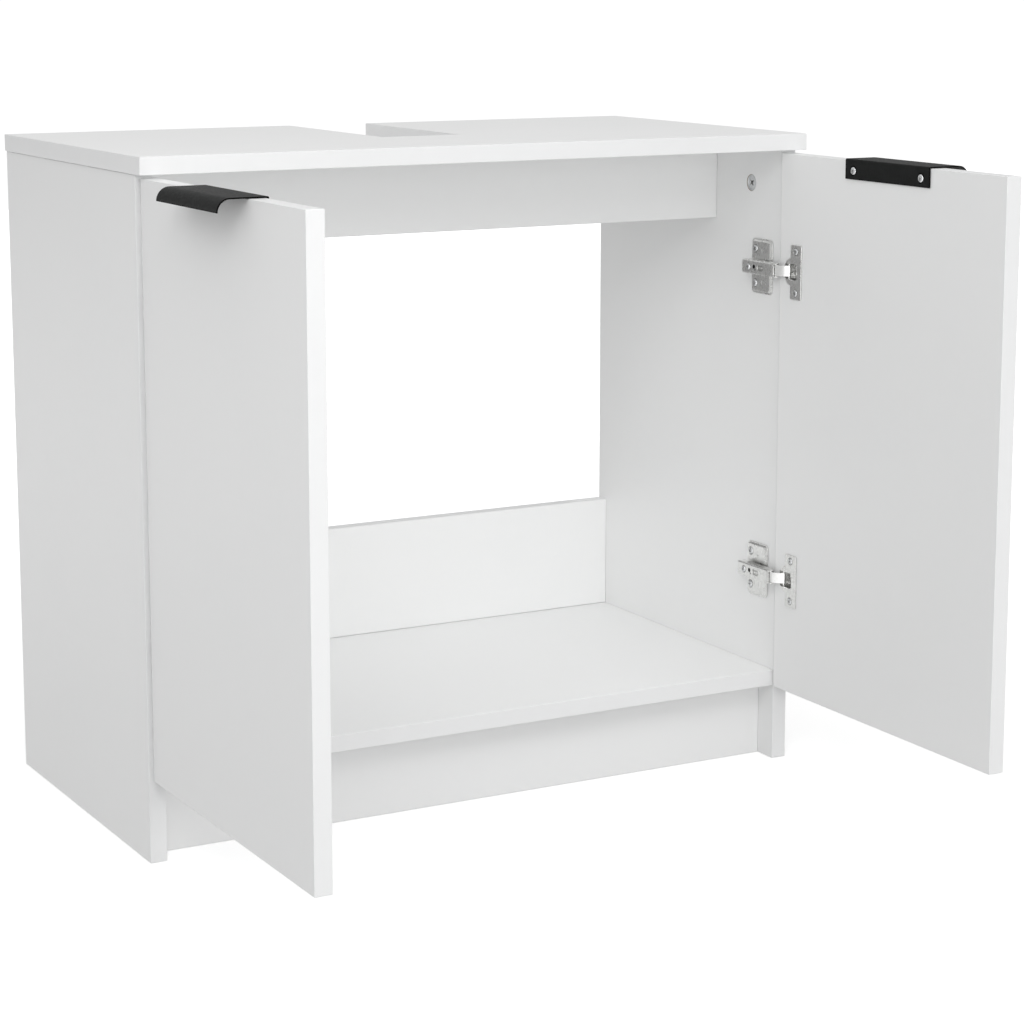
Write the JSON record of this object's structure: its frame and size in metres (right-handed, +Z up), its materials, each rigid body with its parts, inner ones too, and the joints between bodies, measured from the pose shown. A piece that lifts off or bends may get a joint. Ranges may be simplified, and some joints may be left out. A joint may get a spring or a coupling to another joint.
{
  "type": "bathroom vanity cabinet",
  "caption": "White under-basin vanity cabinet with a rear pipe cut-out in its top, an open back, and hinged doors with black edge-pull handles and concealed cup hinges.",
  "frame": {"origin": "on the floor, in the middle of the width, in the plane of the side panels' front edges, which is also the bottom centre of the bounding box with both doors open by 90 degrees", "axes": "+Z up, +Y back towards the wall, +X to the right seen from the front"},
  "size_m": [0.687, 0.649, 0.592],
  "materials": {
    "white_board": "white melamine-faced board, satin, faint orange-peel, white edge banding",
    "black_handle": "matte black powder coat",
    "nickel_hinge": "nickel-plated pressed steel",
    "bright_link": "bright nickel",
    "zinc_screw": "zinc-plated steel",
    "cam_zinc": "die-cast zinc, grey"
  },
  "bodies": {
    "carcass": {"top_panel": "white_board", "base_panel": "white_board", "plinth_board": "white_board", "apron_rail": "white_board", "lower_back_rail": "white_board", "left_side_panel": "white_board", "left_front_cam": "cam_zinc", "left_rear_cam": "cam_zinc", "left_upper_mounting_plate": "nickel_hinge", "left_upper_hinge_arm": "nickel_hinge", "left_upper_plate_screw_top": "zinc_screw", "left_upper_plate_screw_bottom": "zinc_screw", "left_upper_arm_screw": "zinc_screw", "left_lower_mounting_plate": "nickel_hinge", "left_lower_hinge_arm": "nickel_hinge", "left_lower_plate_screw_top": "zinc_screw", "left_lower_plate_screw_bottom": "zinc_screw", "left_lower_arm_screw": "zinc_screw", "right_side_panel": "white_board", "right_front_cam": "cam_zinc", "right_rear_cam": "cam_zinc", "right_upper_mounting_plate": "nickel_hinge", "right_upper_hinge_arm": "nickel_hinge", "right_upper_plate_screw_top": "zinc_screw", "right_upper_plate_screw_bottom": "zinc_screw", "right_upper_arm_screw": "zinc_screw", "right_lower_mounting_plate": "nickel_hinge", "right_lower_hinge_arm": "nickel_hinge", "right_lower_plate_screw_top": "zinc_screw", "right_lower_plate_screw_bottom": "zinc_screw", "right_lower_arm_screw": "zinc_screw"},
    "left_hinge_links": {"left_upper_hinge_link": "bright_link", "left_lower_hinge_link": "bright_link"},
    "right_hinge_links": {"right_upper_hinge_link": "bright_link", "right_lower_hinge_link": "bright_link"},
    "left_door_leaf": {"left_door": "white_board", "left_handle": "black_handle", "left_handle_screw_inner": "zinc_screw", "left_handle_screw_outer": "zinc_screw", "left_upper_cup_screw_top": "zinc_screw", "left_upper_cup_screw_bottom": "zinc_screw", "left_upper_hinge_cup": "nickel_hinge", "left_lower_cup_screw_top": "zinc_screw", "left_lower_cup_screw_bottom": "zinc_screw", "left_lower_hinge_cup": "nickel_hinge"},
    "right_door_leaf": {"right_door": "white_board", "right_handle": "black_handle", "right_handle_screw_inner": "zinc_screw", "right_handle_screw_outer": "zinc_screw", "right_upper_cup_screw_top": "zinc_screw", "right_upper_cup_screw_bottom": "zinc_screw", "right_upper_hinge_cup": "nickel_hinge", "right_lower_cup_screw_top": "zinc_screw", "right_lower_cup_screw_bottom": "zinc_screw", "right_lower_hinge_cup": "nickel_hinge"}
  },
  "joints": [
    {"name": "left_links_turn", "type": "hinge", "parent": "carcass", "child": "left_hinge_links", "pos_m": [-0.2975, -0.00717, 0.323], "axis": [0, 0, -1], "range_deg": [-3.85, 69.05]},
    {"name": "left_door_swing", "type": "hinge", "parent": "left_hinge_links", "child": "left_door_leaf", "pos_m": [-0.305, -0.0165, 0.323], "axis": [0, 0, -1], "range_deg": [-159.04, 8.84]},
    {"name": "right_links_turn", "type": "hinge", "parent": "carcass", "child": "right_hinge_links", "pos_m": [0.2975, -0.00717, 0.323], "axis": [0, 0, 1], "range_deg": [-3.85, 69.05]},
    {"name": "right_door_swing", "type": "hinge", "parent": "right_hinge_links", "child": "right_door_leaf", "pos_m": [0.305, -0.0165, 0.323], "axis": [0, 0, 1], "range_deg": [-159.04, 8.84]}
  ],
  "couplings": [
    {"joint": "left_links_turn", "follows": "left_door_swing", "ratio": -0.43411},
    {"joint": "right_links_turn", "follows": "right_door_swing", "ratio": -0.43411}
  ]
}
